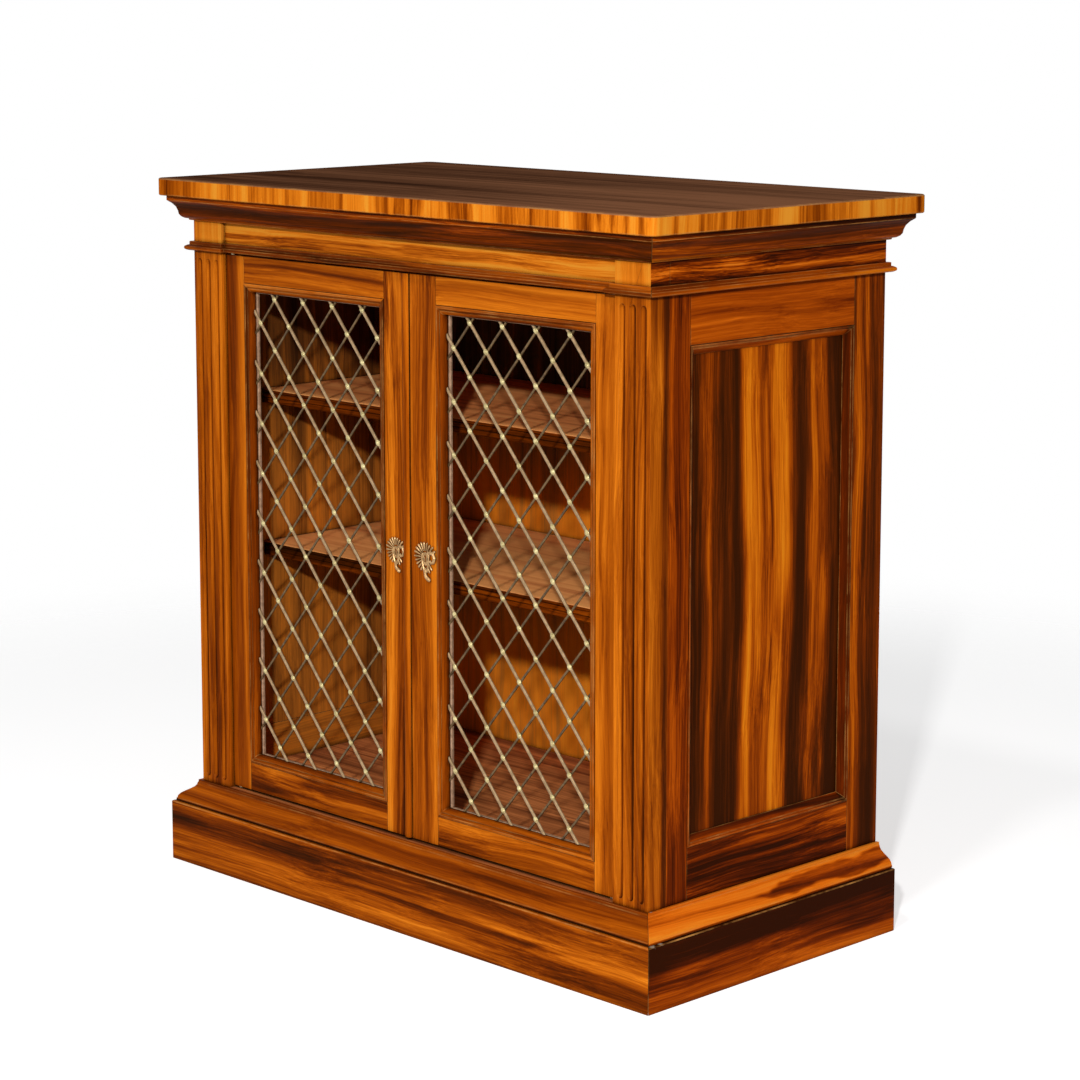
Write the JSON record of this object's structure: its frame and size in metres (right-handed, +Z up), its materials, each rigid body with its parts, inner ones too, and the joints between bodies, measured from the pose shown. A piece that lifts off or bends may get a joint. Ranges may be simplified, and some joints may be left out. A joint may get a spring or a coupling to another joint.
{
  "type": "side cabinet",
  "caption": "Low side cabinet with brass-latticed doors between fluted corner posts, shelves inside, a panelled side at each end and a moulded plinth.",
  "frame": {"origin": "centre of the footprint's bounding box, on the floor", "axes": "+X to the viewer's right when facing the doors, -Y out of the front, +Z up"},
  "size_m": [0.875, 0.477, 0.9],
  "materials": {
    "top_veneer": "polished",
    "dark_wood": "polished",
    "front_veneer": "polished",
    "door_veneer": "polished",
    "side_veneer": "polished",
    "plinth_veneer": "polished",
    "inner_wood": "waxed",
    "lattice_brass": "satin, aged",
    "fittings_brass": "cast, aged",
    "hardware_brass": "satin"
  },
  "bodies": {
    "carcase": {"back_panel": "inner_wood", "case_bottom": "inner_wood", "cornice_back": "dark_wood", "cornice_front": "dark_wood", "cornice_left": "dark_wood", "cornice_right": "dark_wood", "frieze_back": "dark_wood", "frieze_front": "front_veneer", "frieze_left": "front_veneer", "frieze_right": "front_veneer", "necking_back": "front_veneer", "necking_front": "front_veneer", "necking_left": "front_veneer", "necking_right": "front_veneer", "plinth_back": "dark_wood", "plinth_front": "plinth_veneer", "plinth_left": "plinth_veneer", "plinth_moulding_front": "plinth_veneer", "plinth_moulding_left": "plinth_veneer", "plinth_moulding_right": "plinth_veneer", "plinth_right": "plinth_veneer", "post_left": "front_veneer", "post_right": "front_veneer", "shelf_lower": "inner_wood", "shelf_upper": "inner_wood", "side_left_bottom_rail": "side_veneer", "side_left_front_stile": "side_veneer", "side_left_moulding": "side_veneer", "side_left_panel": "side_veneer", "side_left_rear_stile": "side_veneer", "side_left_top_rail": "side_veneer", "side_right_bottom_rail": "side_veneer", "side_right_front_stile": "side_veneer", "side_right_moulding": "side_veneer", "side_right_panel": "side_veneer", "side_right_rear_stile": "side_veneer", "side_right_top_rail": "side_veneer", "top_board": "top_veneer"},
    "left_door": {"astragal_bead": "front_veneer", "door_left_bottom_rail": "door_veneer", "door_left_grille": "lattice_brass", "door_left_hinge_stile": "door_veneer", "door_left_meeting_stile": "door_veneer", "door_left_moulding": "door_veneer", "door_left_top_rail": "door_veneer", "escutcheon_left": "fittings_brass", "pivot_left_bottom": "hardware_brass", "pivot_left_top": "hardware_brass"},
    "right_door": {"door_right_bottom_rail": "door_veneer", "door_right_grille": "lattice_brass", "door_right_hinge_stile": "door_veneer", "door_right_meeting_stile": "door_veneer", "door_right_moulding": "door_veneer", "door_right_top_rail": "door_veneer", "escutcheon_right": "fittings_brass", "lock_case": "hardware_brass", "pivot_right_bottom": "hardware_brass", "pivot_right_top": "hardware_brass"},
    "lock_bolt": {"lock_bolt": "hardware_brass"},
    "flush_bolt": {"flush_bolt": "hardware_brass"}
  },
  "joints": [
    {"name": "left_door_hinge", "type": "hinge", "parent": "carcase", "child": "left_door", "pos_m": [-0.3374, -0.192, 0.45], "axis": [0, 0, -1], "range_deg": [0, 105]},
    {"name": "right_door_hinge", "type": "hinge", "parent": "carcase", "child": "right_door", "pos_m": [0.3374, -0.192, 0.45], "axis": [0, 0, 1], "range_deg": [0, 105]},
    {"name": "lock_bolt_slide", "type": "slide", "parent": "right_door", "child": "lock_bolt", "axis": [-1, 0, 0], "range_m": [0, 0.008]},
    {"name": "flush_bolt_slide", "type": "slide", "parent": "left_door", "child": "flush_bolt", "axis": [0, 0, 1], "range_m": [0, 0.01]}
  ]
}
